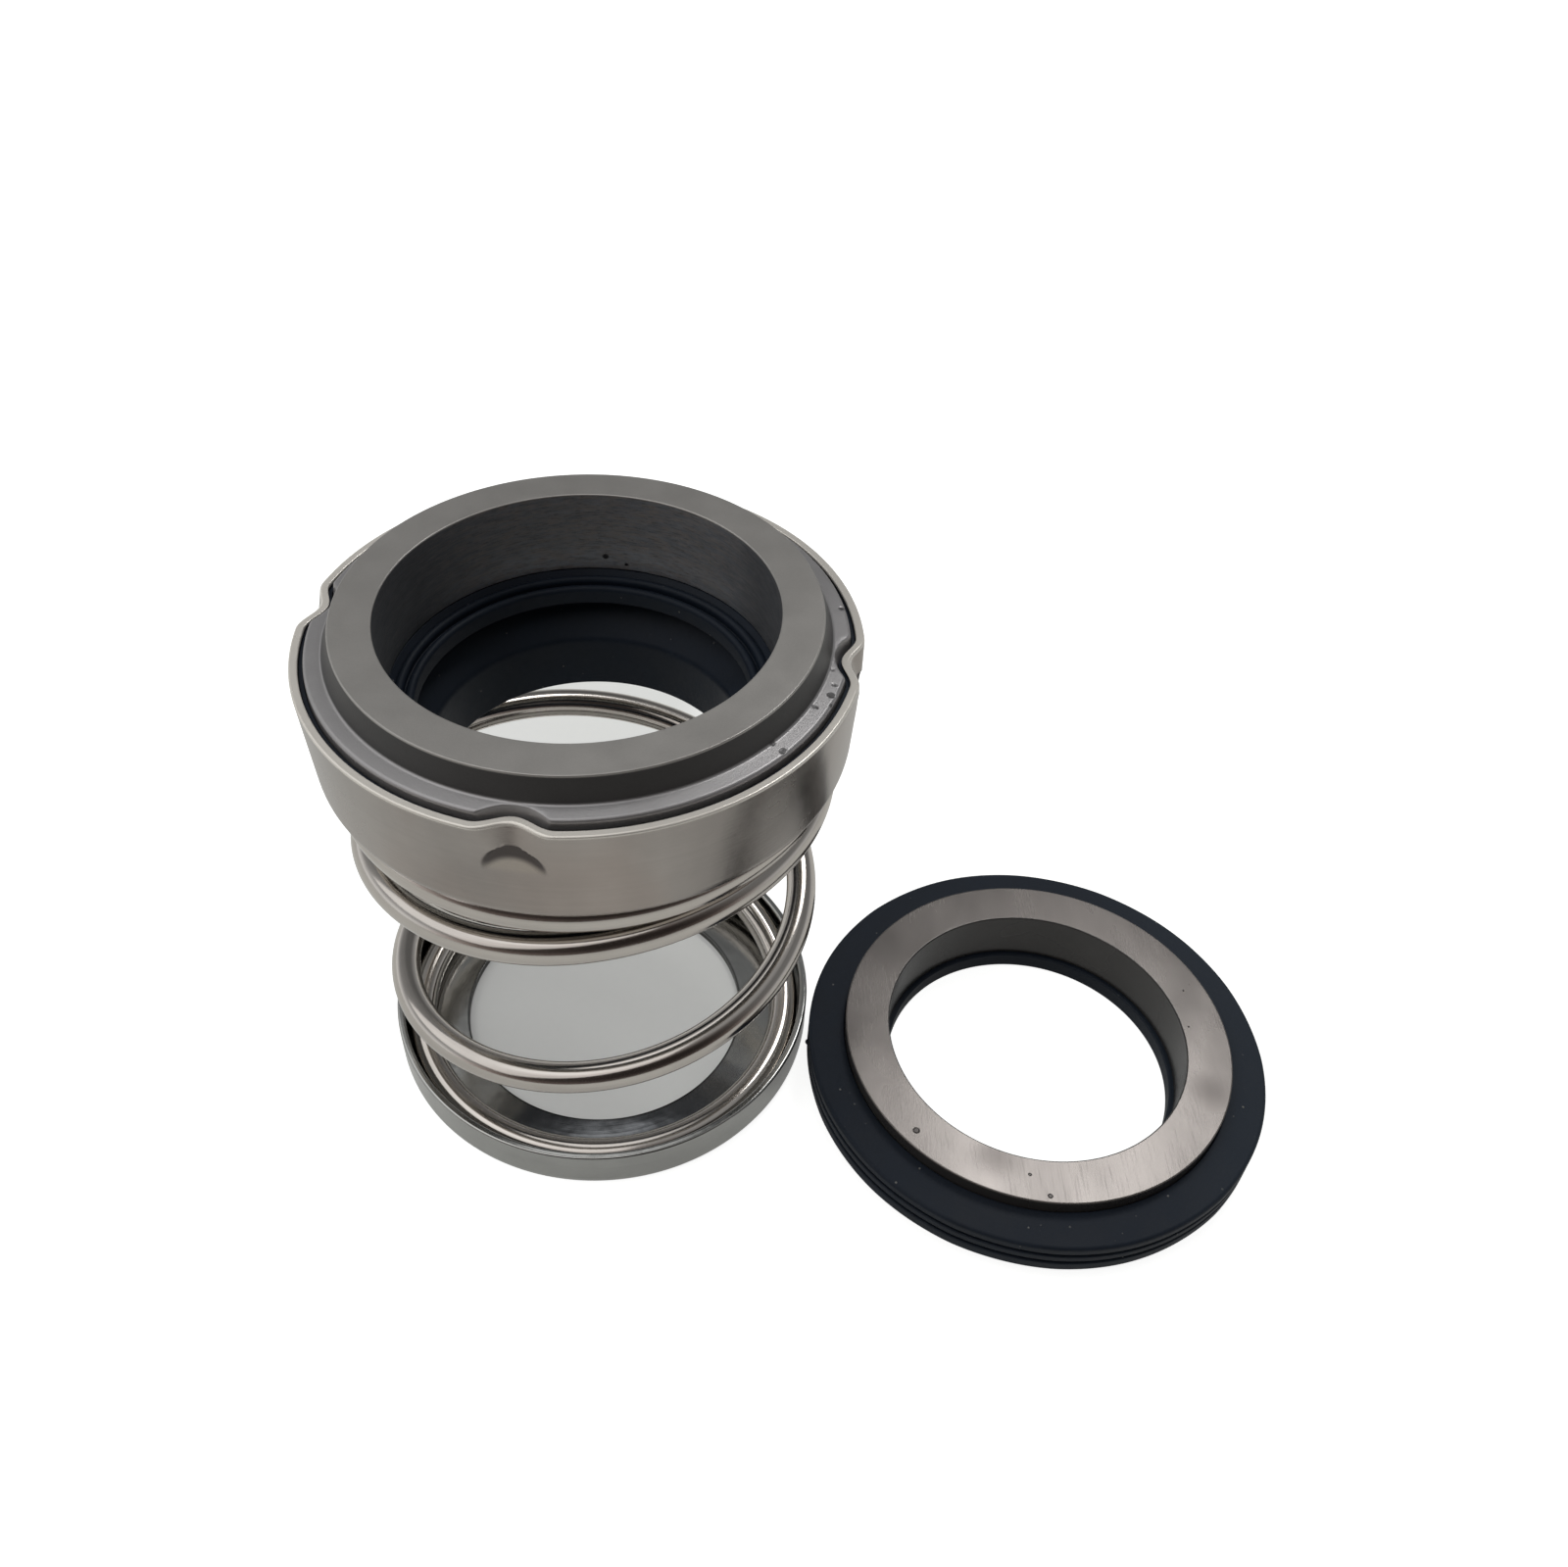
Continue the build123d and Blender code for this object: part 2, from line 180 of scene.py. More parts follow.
def rounded(corners, steps=7):
    """Closed outline in the r-z plane.

    Each row is r, z and a rounding. A corner with a rounding becomes an arc of that radius tangent
    to both its sides: its centre lies on the bisector, radius / sin(half angle) from the corner.
    """
    rows = np.asarray(corners, float)
    out = []
    for i, (r, z, rounding) in enumerate(rows):
        here = np.array((r, z))
        if rounding <= 0:
            out.append(here[None])
            continue
        u = rows[i - 1, :2] - here
        v = rows[(i + 1) % len(rows), :2] - here
        u, v = u / np.linalg.norm(u), v / np.linalg.norm(v)
        half = 0.5 * np.arccos(np.clip(u @ v, -1, 1))
        middle = here + (u + v) / np.linalg.norm(u + v) * rounding / np.sin(half)
        first = here + u * rounding / np.tan(half) - middle
        last = here + v * rounding / np.tan(half) - middle
        start = np.arctan2(first[1], first[0])
        turn = (np.arctan2(last[1], last[0]) - start + pi) % (2 * pi) - pi
        angles = start + turn * np.linspace(0, 1, steps)
        out.append(middle + rounding * np.column_stack((np.cos(angles), np.sin(angles))))
    return np.vstack(out)


def arc(centre, radius, start, end, steps=9):
    """Points of a circle in the r-z plane from one angle to another, in degrees."""
    angles = np.radians(np.linspace(start, end, steps))
    return np.asarray(centre) + radius * np.column_stack((np.cos(angles), np.sin(angles)))


def fine(outline, spacing, close_z=1.0, close_spacing=1.0):
    """The closed outline with support points near the ends of long sides and even ones between.

    Sides above close_z have the closer spacing.
    """
    out = []
    for here, there in zip(outline, np.roll(outline, -1, axis=0)):
        length = np.linalg.norm(there - here)
        if length < 6 * GUARD:
            out.append(here[None])
            continue
        gap = close_spacing if min(here[1], there[1]) > close_z else spacing
        inner = np.linspace(GUARD / length, 1 - GUARD / length, max(2, int(length / gap) + 1))
        share_along = np.concatenate(([0.0], inner))[:, None]
        out.append(here + (there - here) * share_along)
    return np.vstack(out)


def even_angles(count):
    """Angles of a full turn, evenly spaced."""
    return np.linspace(0, 2 * pi, count, endpoint=False)


def lathe(outline, angles, centre=(0.0, 0.0), shift=None):
    """Closed surface of revolution.

    Point (i, j) is the outline's point j at angle i: x = r cos a, y = r sin a, z. The outline runs
    anticlockwise round the solid in the r-z plane, so the faces look outwards. shift(r, z, a) gives
    a change of r, for what isn't round.
    """
    a = np.repeat(angles[:, None], len(outline), axis=1)
    r = np.repeat(outline[None, :, 0], len(angles), axis=0)
    z = np.repeat(outline[None, :, 1], len(angles), axis=0)
    if shift is not None:
        r = r + shift(r, z, a)
    points = np.stack((centre[0] + r * np.cos(a), centre[1] + r * np.sin(a), z), axis=-1)
    i, j = np.meshgrid(np.arange(len(angles)), np.arange(len(outline)), indexing="ij")
    n = len(outline)
    i2, j2 = (i + 1) % len(angles), (j + 1) % n
    quads = np.stack((i * n + j, i2 * n + j, i2 * n + j2, i * n + j2), axis=-1)
    return points.reshape(-1, 3), quads.reshape(-1, 4)


def coil_tube(look, turn, start, end, ease, sides):
    """Tube round a coil.

    The share s of the rise grows from nought at the start angle to one at the end angle, with even
    slope and parabolic ends. Radius and height of the centreline go from the bottom turn's to the
    top turn's with s, and the closed turn after the end angle climbs evenly. Around the centreline
    the tube is centre + wire (cos b N + sin b (T x N)), with T the tangent and N the outward radius
    made square to it. What stands above the ground top is pressed flat onto it. Angles are in
    degrees, and each parabolic end takes the share ease of the way. Besides points and faces it
    returns the UV of each face corner: the length along the wire and the share round it.
    """
    s = np.clip((turn - start) / (end - start), 0, 1)
    scale = 2 * ease * (1 - ease)
    share_up = np.where(s < ease, s * s / scale, (s - ease / 2) / (1 - ease))
    share_up = np.where(s > 1 - ease, 1 - (1 - s) ** 2 / scale, share_up)
    r = look.bottom_r + (look.top_r - look.bottom_r) * share_up
    z = look.bottom_z + (look.coil_h - 2 * look.wire_r) * share_up
    z += look.closed_rise * np.maximum(turn - end, 0) / 360.0
    a = np.radians(turn)
    centre = np.column_stack((r * np.cos(a), r * np.sin(a), z))
    tangent = np.gradient(centre, axis=0)
    tangent /= np.linalg.norm(tangent, axis=1)[:, None]
    outward = np.column_stack((np.cos(a), np.sin(a), np.zeros_like(a)))
    outward -= tangent * np.sum(tangent * outward, axis=1)[:, None]
    outward /= np.linalg.norm(outward, axis=1)[:, None]
    side = np.cross(tangent, outward)
    chamfer = 0.18 * MM
    width = np.full(len(turn), look.wire_r)
    centre = np.vstack((centre[0], centre, centre[-1]))
    centre[1] += tangent[0] * chamfer
    centre[-2] -= tangent[-1] * chamfer
    width = np.concatenate(([look.wire_r - chamfer], width, [look.wire_r - chamfer]))
    outward = np.vstack((outward[0], outward, outward[-1]))
    side = np.vstack((side[0], side, side[-1]))
    b = np.linspace(0, 2 * pi, sides, endpoint=False)
    ring = np.cos(b)[None, :, None] * outward[:, None] + np.sin(b)[None, :, None] * side[:, None]
    points = centre[:, None] + width[:, None, None] * ring
    points[..., 2] = np.minimum(points[..., 2], SPRING_TOP)
    n = len(centre)
    i, j = np.meshgrid(np.arange(n - 1), np.arange(sides), indexing="ij")
    j2 = (j + 1) % sides
    quads = np.stack((i * sides + j, i * sides + j2, (i + 1) * sides + j2, (i + 1) * sides + j), axis=-1)
    length = np.concatenate(([0], np.cumsum(np.linalg.norm(np.diff(centre, axis=0), axis=1))))
    run = np.stack(
        (
            np.stack((length[i], length[i], length[i + 1], length[i + 1]), axis=-1),
            np.stack((j, j + 1, j + 1, j), axis=-1) / sides,
        ),
        axis=-1,
    )
    caps = [list(range(sides))[::-1], [(n - 1) * sides + k for k in range(sides)]]
    faces = quads.reshape(-1, 4).tolist() + caps
    cap_run = np.column_stack((np.zeros(2 * sides), np.tile(np.arange(sides) / sides, 2)))
    return points.reshape(-1, 3), faces, np.vstack((run.reshape(-1, 2), cap_run))


def dent_angles_fine(base, width, spacing):
    """Angles of a full turn: even ones, with closer ones across each dent."""
    around = [np.arange(base) * 2 * pi / base]
    for middle in DENT_ANGLES:
        around.append(middle + np.arange(-width, width, spacing))
    turned = np.sort(np.concatenate(around) % (2 * pi))
    gap = np.diff(turned, append=turned[0] + 2 * pi)
    return turned[gap > 0.45 * spacing]


def off_dent(a, r):
    """Distance round the circle to the nearest dent's middle: the smallest angle to one, times r."""
    away = (a[..., None] - DENT_ANGLES + pi) % (2 * pi) - pi
    return np.min(np.abs(away), axis=-1) * r


def dent_push(look, a, r, z, rim):
    """Inward push of a dent.

    At a depth h below the rim it is D (1 + cos(pi y / w)) / 2 for a distance y from its middle under
    w. D falls from the dent's depth at the rim to nought at its reach, and w with the root of D.
    """
    y = off_dent(a, r)
    fall = np.clip(1 - (rim - z) / look.dent_reach, 0, 1.12)
    half = look.dent_half_w * np.sqrt(np.maximum(fall, 1e-6))
    return look.dent_depth * fall * 0.5 * (1 + np.cos(pi * np.clip(y / half, 0, 1)))


def wall_radius(look, z):
    """Outside radius of the retainer's wall: the rim's, less the flare times the share of the depth."""
    return RETAINER_R - look.flare * (RETAINER_TOP.z - z) / (RETAINER_TOP.z - RETAINER_FLOOR)


def nib(angle):
    """Small left-over of moulding: an ellipsoid with flat ends, its inner half sunk in the boot's wall.

    Its points are (r + d cos u cos v, w sin u cos v, z + h sin v), turned to its angle in degrees.
    """
    d, w, h, sides = 0.36 * MM, 0.4 * MM, 0.18 * MM, 16
    u, v = np.meshgrid(even_angles(sides), np.linspace(-1.2, 1.2, 7), indexing="ij")
    out = BOOT_R - 0.08 * MM + d * np.cos(u) * np.cos(v)
    side = w * np.sin(u) * np.cos(v)
    z = 4.1 * MM + h * np.sin(v)
    a = radians(angle)
    x = STAT_CENTRE[0] + out * np.cos(a) - side * np.sin(a)
    y = STAT_CENTRE[1] + out * np.sin(a) + side * np.cos(a)
    n = v.shape[1]
    i, j = np.meshgrid(np.arange(sides), np.arange(n - 1), indexing="ij")
    i2 = (i + 1) % sides
    quads = np.stack((i * n + j, i2 * n + j, i2 * n + j + 1, i * n + j + 1), axis=-1)
    caps = [[k * n for k in range(sides)][::-1], [k * n + n - 1 for k in range(sides)]]
    return np.stack((x, y, z), axis=-1).reshape(-1, 3), quads.reshape(-1, 4).tolist() + caps


def add_piece(name, points, faces, body, material, crease=35.0):
    """Puts points and faces into a new mesh object that rides on a body."""
    mesh = bpy.data.meshes.new(name)
    mesh.from_pydata(points.tolist(), [], [list(f) for f in faces])
    mesh.validate()
    mesh.shade_smooth()
    mesh.set_sharp_from_angle(angle=radians(crease))
    piece = bpy.data.objects.new(name, mesh)
    bpy.context.scene.collection.objects.link(piece)
    mesh.materials.append(material)
    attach(piece, body)
    return piece


# ------------------------------------------------------------------------------ materials


class Value:
    """A shader socket. Arithmetic on it adds Math nodes."""

    def __init__(self, finish, socket):
        self.finish = finish
        self.socket = socket

    def __add__(self, other):
        return self.finish.math("ADD", self, other)

    def __radd__(self, other):
        return self.finish.math("ADD", other, self)

    def __sub__(self, other):
        return self.finish.math("SUBTRACT", self, other)

    def __rsub__(self, other):
        return self.finish.math("SUBTRACT", other, self)

    def __mul__(self, other):
        return self.finish.math("MULTIPLY", self, other)

    def __rmul__(self, other):
        return self.finish.math("MULTIPLY", other, self)

    def __truediv__(self, other):
        return self.finish.math("DIVIDE", self, other)

    def __pow__(self, other):
        return self.finish.math("POWER", self, other)


class Finish:
    """A procedural material that is being written."""

    def __init__(self, name, tree=None):
        if tree is None:
            self.material = bpy.data.materials.new(name)
            self.material.use_nodes = True
            tree = self.material.node_tree
        self.tree = tree
        self.tree.nodes.clear()
        self.object = self.out(self.node("TexCoord"), "Object")

    def node(self, kind, settings=None, inputs=None):
        """Adds a shader node, sets its own settings first and then its sockets."""
        made = self.tree.nodes.new("ShaderNode" + kind)
        for key, value in (settings or {}).items():
            setattr(made, key, value)
        for key, value in (inputs or {}).items():
            if isinstance(value, Value):
                self.tree.links.new(value.socket, made.inputs[key])
            else:
                made.inputs[key].default_value = value
        return made

    def out(self, made, key=0):
        """One output of a node."""
        return Value(self, made.outputs[key])

    def math(self, operation, a, b=0.0, clamp=False):
        """Result of a Math node."""
        return self.out(self.node("Math", {"operation": operation, "use_clamp": clamp}, {0: a, 1: b}))

    def step(self, value, low, high):
        """Smooth rise from nought at low to one at high; it falls where low is the larger."""
        made = self.node(
            "MapRange",
            {"interpolation_type": "SMOOTHSTEP"},
            {"Value": value, "From Min": low, "From Max": high},
        )
        return self.out(made)

    def placed(self, scale=(1, 1, 1), centre=(0, 0, 0), turn=(0, 0, 0)):
        """Object coordinates with a centre, a turn and a scale for each axis."""
        moved = self.node("Mapping", {}, {0: self.object, 1: (-centre[0], -centre[1], -centre[2])})
        made = self.node("Mapping", {}, {0: self.out(moved), 2: turn, 3: scale})
        return self.out(made)

    def axes(self, centre=(0, 0, 0)):
        """x, y, z and distance from the upright axis through a centre."""
        split = self.node("SeparateXYZ", {}, {0: self.placed(centre=centre)})
        x, y, z = self.out(split, 0), self.out(split, 1), self.out(split, 2)
        return x, y, z, (x * x + y * y) ** 0.5

    def vector(self, x, y, z):
        """Vector of three numbers."""
        return self.out(self.node("CombineXYZ", {}, {0: x, 1: y, 2: z}))

    def noise(self, vector, scale, detail=2.0, rough=0.5, warp=0.0):
        """Smooth noise about one half."""
        made = self.node(
            "TexNoise",
            {},
            {"Vector": vector, "Scale": scale, "Detail": detail, "Roughness": rough, "Distortion": warp},
        )
        return self.out(made)

    def cells(self, vector, scale):
        """Distance to the nearest of scattered points."""
        return self.out(self.node("TexVoronoi", {}, {"Vector": vector, "Scale": scale}))

    def spot(self, centre, radius):
        """One within a radius of a point, with a soft edge."""
        _, _, z, r = self.axes(centre)
        return self.step((z * z + r * r) ** 0.5, radius * 1.2, radius * 0.6)

    def blot(self, place, radius):
        """Soft spot on the stationary face: one at a place, nought at a radius, both in millimetres."""
        x, y = STAT_CENTRE[0] + place[0] * MM, STAT_CENTRE[1] + place[1] * MM
        _, _, _, away = self.axes((x, y, 0.0))
        return self.step(away, radius * MM, 0.0)

    def mix(self, factor, a, b):
        """Colour from a to b."""
        a, b = [(*c, 1.0) if isinstance(c, (tuple, list)) and len(c) == 3 else c for c in (a, b)]
        made = self.node("Mix", {"data_type": "RGBA", "clamp_factor": True}, {0: factor, 6: a, 7: b})
        return self.out(made, 2)

    def shade(self, colour, amount):
        """A colour multiplied by a changing amount."""
        grey = self.vector(amount, amount, amount)
        made = self.node("VectorMath", {"operation": "MULTIPLY"}, {0: colour, 1: grey})
        return self.out(made)

    def bump(self, height, distance):
        """Normal of a surface whose height changes by a distance from nought to one."""
        made = self.node("Bump", {}, {"Height": height, "Distance": distance, "Strength": 1.0})
        return self.out(made)

    def done(self, **inputs):
        """Closes the material with a Principled surface and returns it."""
        named = {}
        for key, value in inputs.items():
            named[key.replace("_", " ").title().replace("Ior", "IOR")] = value
        surface = self.node("BsdfPrincipled", {}, named)
        target = self.node("OutputMaterial")
        self.tree.links.new(surface.outputs[0], target.inputs[0])
        return self.material


def drawn_lines(finish, lines_per_m, centre=(0, 0, 0)):
    """Fine lines round the axis: noise that changes fast with radius and height, slowly round the turn."""
    x, y, z, r = finish.axes(centre)
    across = finish.vector(r * lines_per_m + x * 60.0, z * lines_per_m, y * 60.0)
    return finish.noise(across, 1.0, 3.0, 0.6)


def sheet_finish(name, colour, roughness, wave, painted_dark_reflection=0.0):
    """Pressed stainless sheet: drawing lines round the axis, faint stains, soft waves, a dark hole edge
    and a painted dark reflection.

    The last argument is the strength of a painted dark bluish reflection on the front right of the sheet.
    """
    f = Finish(name)
    x, y, _, r = f.axes()
    # painted reflection: mask of the front right of the seat's floor, where a dark bluish reflection is
    # painted
    blue = f.step((x * 0.29 - y * 0.96) / r, 0.68, 0.74) * f.step(r, 22.6 * MM, 22.2 * MM)
    edge = f.step(r, SEAT_HOLE_R + 0.32 * MM, SEAT_HOLE_R + 0.15 * MM)
    lines = drawn_lines(f, 3200.0)
    clouds = f.noise(f.placed(), 210.0, 4.0, 0.6)
    waves = f.noise(f.placed((1, 1, 0.35)), 330.0, 2.0)
    colour = f.shade(tuple(colour), 0.78 + lines * 0.14 + clouds * 0.3)
    # painted reflection: the seat's floor turns dark bluish under that mask
    colour = f.mix(blue * painted_dark_reflection, colour, (0.17, 0.19, 0.23))
    return f.done(
        base_color=f.mix(edge * 0.75, colour, (0.05, 0.05, 0.05)),
        metallic=1.0,
        roughness=f.math("ADD", roughness - 0.05, clouds * 0.08 + lines * 0.03),
        normal=f.bump(lines * 0.08 + waves * wave, 0.05 * MM),
    )


def retainer_finish(look):
    """Satin drawn sheet, brownish in clouds, with painted reflection bands, rim highlight and stake light
    and shade.

    In axes turned to the first dent, the smaller of |x| and |y| is the distance across the nearest
    dent from its middle. The stake's outline is a circle in that distance and the depth below the
    rim, and a second circle lower down cuts the crevice out of it.
    """
    f = Finish("drawn_sheet")
    lines = drawn_lines(f, 4200.0)
    clouds = f.noise(f.placed(), 150.0, 4.0, 0.6)
    warm = f.step(f.noise(f.placed((1, 1, 0.5)), 70.0, 2.0), 0.42, 0.62)
    waves = f.noise(f.placed((1, 1, 0.35)), 300.0, 2.0)
    # painted reflection: faint upright bands of dark reflections, put into the colour
    reflection_bands = f.noise(f.placed((1, 1, 0.1)), 150.0, 2.0, 0.6)
    split = f.node("SeparateXYZ", {}, {0: f.placed(turn=(0, 0, radians(97.5)))})
    across = f.math("MINIMUM", f.math("ABSOLUTE", f.out(split, 0)), f.math("ABSOLUTE", f.out(split, 1)))
    below = RETAINER_TOP.z - f.out(split, 2) - (look.stake_drop + look.stake_r)
    away = (across * across + below * below) ** 0.5
    lower = below - 1.3 * MM
    lower = (across * across + lower * lower) ** 0.5
    # painted shadow: the crevice under each stake's arch is darkened in the colour
    arch = f.step(away, look.stake_r + 0.1 * MM, look.stake_r - 0.25 * MM)
    arch = arch * f.step(lower, look.stake_r - 0.5 * MM, look.stake_r + 0.2 * MM)
    arch = arch * f.step(below, 0.5 * MM, -0.9 * MM)
    # painted highlight: the stake's ramp is lightened in the colour
    ramp = f.step(away, look.stake_r, look.stake_r - 0.4 * MM) * (1.0 - arch)
    ramp = ramp * f.step(below, 0.3 * MM, -0.4 * MM)
    red, green, blue = look.colour
    colour = f.mix(warm * 0.5, (red, green, blue), (red, green * 0.92, blue * 0.88))
    colour = f.shade(colour, 0.62 + lines * 0.12 + clouds * 0.34 + reflection_bands * 0.26)
    # painted highlight on each stake's ramp
    colour = f.mix(ramp * 0.35, colour, (0.46, 0.41, 0.34))
    # painted shadow in each stake's crevice
    colour = f.mix(arch * 0.75, colour, (0.045, 0.038, 0.04))
    # painted highlight: the top of the rim is coloured pale and made less metallic
    rim = f.step(f.out(split, 2), RETAINER_TOP.z - 0.32 * MM, RETAINER_TOP.z - 0.16 * MM)
    colour = f.mix(rim, colour, (0.84, 0.80, 0.73))
    return f.done(
        base_color=colour,
        metallic=1.0 - rim * 0.62,
        roughness=look.roughness - 0.08 + clouds * 0.16 + arch * 0.3,
        normal=f.bump(lines * 0.12 + waves * 0.8, 0.05 * MM),
    )


def wire_finish(spring):
    """Drawn wire: bright, with fine lines along it and a few darker streaks."""
    f = Finish("drawn_wire")
    run = f.node("UVMap", {"uv_map": "wire"})
    split = f.node("SeparateXYZ", {}, {0: f.out(run)})
    along, across = f.out(split, 0), f.out(split, 1)
    lines = f.noise(f.vector(along * 60.0, across * 90.0, 0.0), 1.0, 3.0, 0.6)
    patches = f.noise(f.placed(), 160.0, 3.0, 0.6)
    amount = 0.74 + lines * 0.22 + patches * 0.25
    return f.done(
        base_color=f.shade(tuple(spring.colour), amount),
        metallic=1.0,
        roughness=spring.roughness - 0.05 + patches * 0.06,
        normal=f.bump(lines * 0.12, 0.03 * MM),
    )


def rotating_carbide_finish(look):
    """Hard carbide ring: lapped face, cone in painted shade, pitted shoulder, streaky rusty bore with
    painted light.
    """
    f = Finish("rotating_carbide")
    x, y, z, r = f.axes()
    grain = f.noise(f.placed(), 5200.0, 3.0, 0.6)
    clouds = f.noise(f.placed(), 260.0, 4.0, 0.6)
    streaks = f.noise(f.placed((1, 1, 7)), 420.0, 5.0, 0.65)
    # painted light: the bore's far side (larger y) is lightened in the colour below
    back = f.step(y, 7.0 * MM, 17.0 * MM)
    rust = f.step(f.noise(f.placed((1, 1, 7)), 480.0, 6.0, 0.75), 0.42, 0.62)
    top = f.step(z, FACE_TOP - 0.22 * MM, FACE_TOP - 0.1 * MM)
    shoulder = f.step(r, SHOULDER_R - 0.15 * MM, SHOULDER_R + 0.05 * MM)
    shoulder = shoulder * f.step(z, FACE_TOP - 2.1 * MM, FACE_TOP - 2.3 * MM)
    bore = f.step(r, FACE_BORE_R + 0.1 * MM, FACE_BORE_R + 0.02 * MM) * (1.0 - top)
    bore_colour = f.mix(streaks, tuple(c * 0.5 for c in look.bore), tuple(c * 1.5 for c in look.bore))
    dashes = f.step(f.noise(f.placed((1, 1, 8)), 900.0, 3.0, 0.6), 0.52, 0.64) * back
    # painted light: the deep part of the far side is lightened further
    deep = f.step(z, 54.0 * MM, 50.5 * MM)
    bore_colour = f.shade(bore_colour, 0.9 + back * (1.15 + deep * 0.9))
    # rust, partly painted light: it is mixed in much more on the far side
    bore_colour = f.mix(rust * (0.1 + back * 0.6), bore_colour, (0.27, 0.24, 0.22))
    bore_colour = f.mix(dashes * 0.4, bore_colour, (0.035, 0.033, 0.035))
    chips = f.spot((0.77 * MM, FACE_BORE_R, 51.4 * MM), 0.32 * MM)
    chips = chips + f.spot((2.9 * MM, 18.0 * MM, 50.6 * MM), 0.22 * MM)
    pits = f.step(f.cells(f.placed(), 520.0), 0.24, 0.13)
    pits = pits * f.step(x, 10.0 * MM, 19.0 * MM) * f.step(clouds, 0.44, 0.54)
    pits = f.math("MAXIMUM", pits * shoulder * 0.8, chips * bore)
    # painted shade: the cone between face and shoulder is coloured near black
    colour = f.mix(shoulder, tuple(look.flank), tuple(look.shoulder))
    colour = f.mix(top, colour, tuple(look.face))
    colour = f.mix(bore, colour, bore_colour)
    colour = f.shade(colour, 0.84 + clouds * 0.2 + grain * 0.12)
    colour = f.mix(pits, colour, (0.01, 0.01, 0.01))
    return f.done(
        base_color=colour,
        metallic=0.25 + f.math("MAXIMUM", top, shoulder) * 0.4,
        roughness=look.roughness - 0.06 + bore * 0.18 + clouds * 0.1,
        normal=f.bump(grain * 0.25 + bore * streaks * 1.2 - pits * 2.0, 0.04 * MM),
    )


def stationary_carbide_finish(look):
    """Lapped seat ring: brown-grey with painted reflection clouds and blots, crossing scratches, stains
    and small pits.
    """
    f = Finish("stationary_carbide")
    centre = (STAT_CENTRE[0], STAT_CENTRE[1], 0.0)
    _, _, z, r = f.axes(centre)
    grain = f.noise(f.placed(), 5200.0, 3.0, 0.6)
    # painted reflection: the clouds and patches below stand in for a clouded reflection in the lapped face
    clouds = f.noise(f.placed((1, 0.5, 1), centre, (0, 0, -0.6)), 150.0, 3.0, 0.55)
    patches = f.noise(f.placed((1, 0.7, 1), centre, (0, 0, 0.4)), 95.0, 2.0, 0.5, 0.4)
    stains = f.step(f.noise(f.placed(), 170.0, 3.0, 0.55), 0.52, 0.78)
    # painted reflection: two dark blots at given places on the face
    reflection_blots = (f.blot((-6.5, -15.8), 3.6) + f.blot((17.4, -7.3), 3.2)) * (0.5 + clouds * 0.7)
    scratches = f.step(f.noise(f.placed((12, 0.5, 1), centre, (0, 0, 0.9)), 520.0, 3.0), 0.52, 0.7)
    crossing = f.step(f.noise(f.placed((12, 0.5, 1), centre, (0, 0, -0.35)), 480.0, 3.0), 0.55, 0.72)
    top = f.step(z, STAT_TOP - 0.2 * MM, STAT_TOP - 0.1 * MM)
    top = top * f.step(r, RING_BORE_R + 0.1 * MM, RING_BORE_R + 0.18 * MM)
    marks = (scratches * 0.6 + crossing * 0.4) * top * f.step(patches, 0.3, 0.6)
    pits = f.step(f.cells(f.placed(), 300.0), 0.045, 0.03)
    for across, along, radius in ((-14.37, -13.0, 0.34), (-1.59, -20.18, 0.24), (-3.3, -17.82, 0.17)):
        place = (centre[0] + across * MM, centre[1] + along * MM, STAT_TOP)
        pits = f.math("MAXIMUM", pits, f.spot(place, radius * MM))
    # painted shade: the ring's walls are coloured near black
    colour = f.mix(top, tuple(look.seat_wall), tuple(look.seat_face))
    # painted reflection: large changes of brightness from clouds and patches
    colour = f.shade(colour, 0.42 + clouds * 0.6 + patches * 0.52 + grain * 0.1 + marks * 0.05)
    # stains, and blots of painted dark reflection
    colour = f.mix(stains * 0.1 + reflection_blots * 0.3, colour, (0.10, 0.085, 0.08))
    colour = f.mix(pits * 0.75, colour, (0.016, 0.014, 0.014))
    return f.done(
        base_color=colour,
        metallic=0.25 + top * 0.45,
        roughness=look.roughness - 0.23 + reflection_blots * 0.08 + patches * 0.2 + marks * 0.07,
        normal=f.bump(grain * 0.12 - pits * 2.0 + marks * 0.03 + patches * 2.6, 0.03 * MM),
    )


def rubber_finish(name, look, dust_share):
    """Moulded rubber: near black, satin, with a fine skin, specks of dust, and a painted bluish sheen
    towards +X.
    """
    f = Finish(name)
    skin = f.noise(f.placed(), 2600.0, 4.0, 0.6)
    clouds = f.noise(f.placed(), 220.0, 3.0, 0.6)
    specks = f.step(f.cells(f.placed(), 620.0), 0.10, 0.055) * f.step(clouds, 0.47, 0.58) * dust_share
    x = f.axes()[0]
    colour = f.shade(tuple(look.colour), 0.65 + clouds * 0.8)
    # painted sheen: paler and bluish towards +X
    colour = f.mix(f.step(x, 54.0 * MM, 70.0 * MM) * 0.5, colour, (0.024, 0.034, 0.048))
    return f.done(
        base_color=f.mix(specks, colour, tuple(look.dust)),
        metallic=0.0,
        specular_ior_level=0.25,
        roughness=look.roughness - 0.05 + clouds * 0.2 + specks * 0.2,
        normal=f.bump(skin * 0.4 + clouds * 0.8 + specks, 0.05 * MM),
    )


# ------------------------------------------------------------------------------ operators


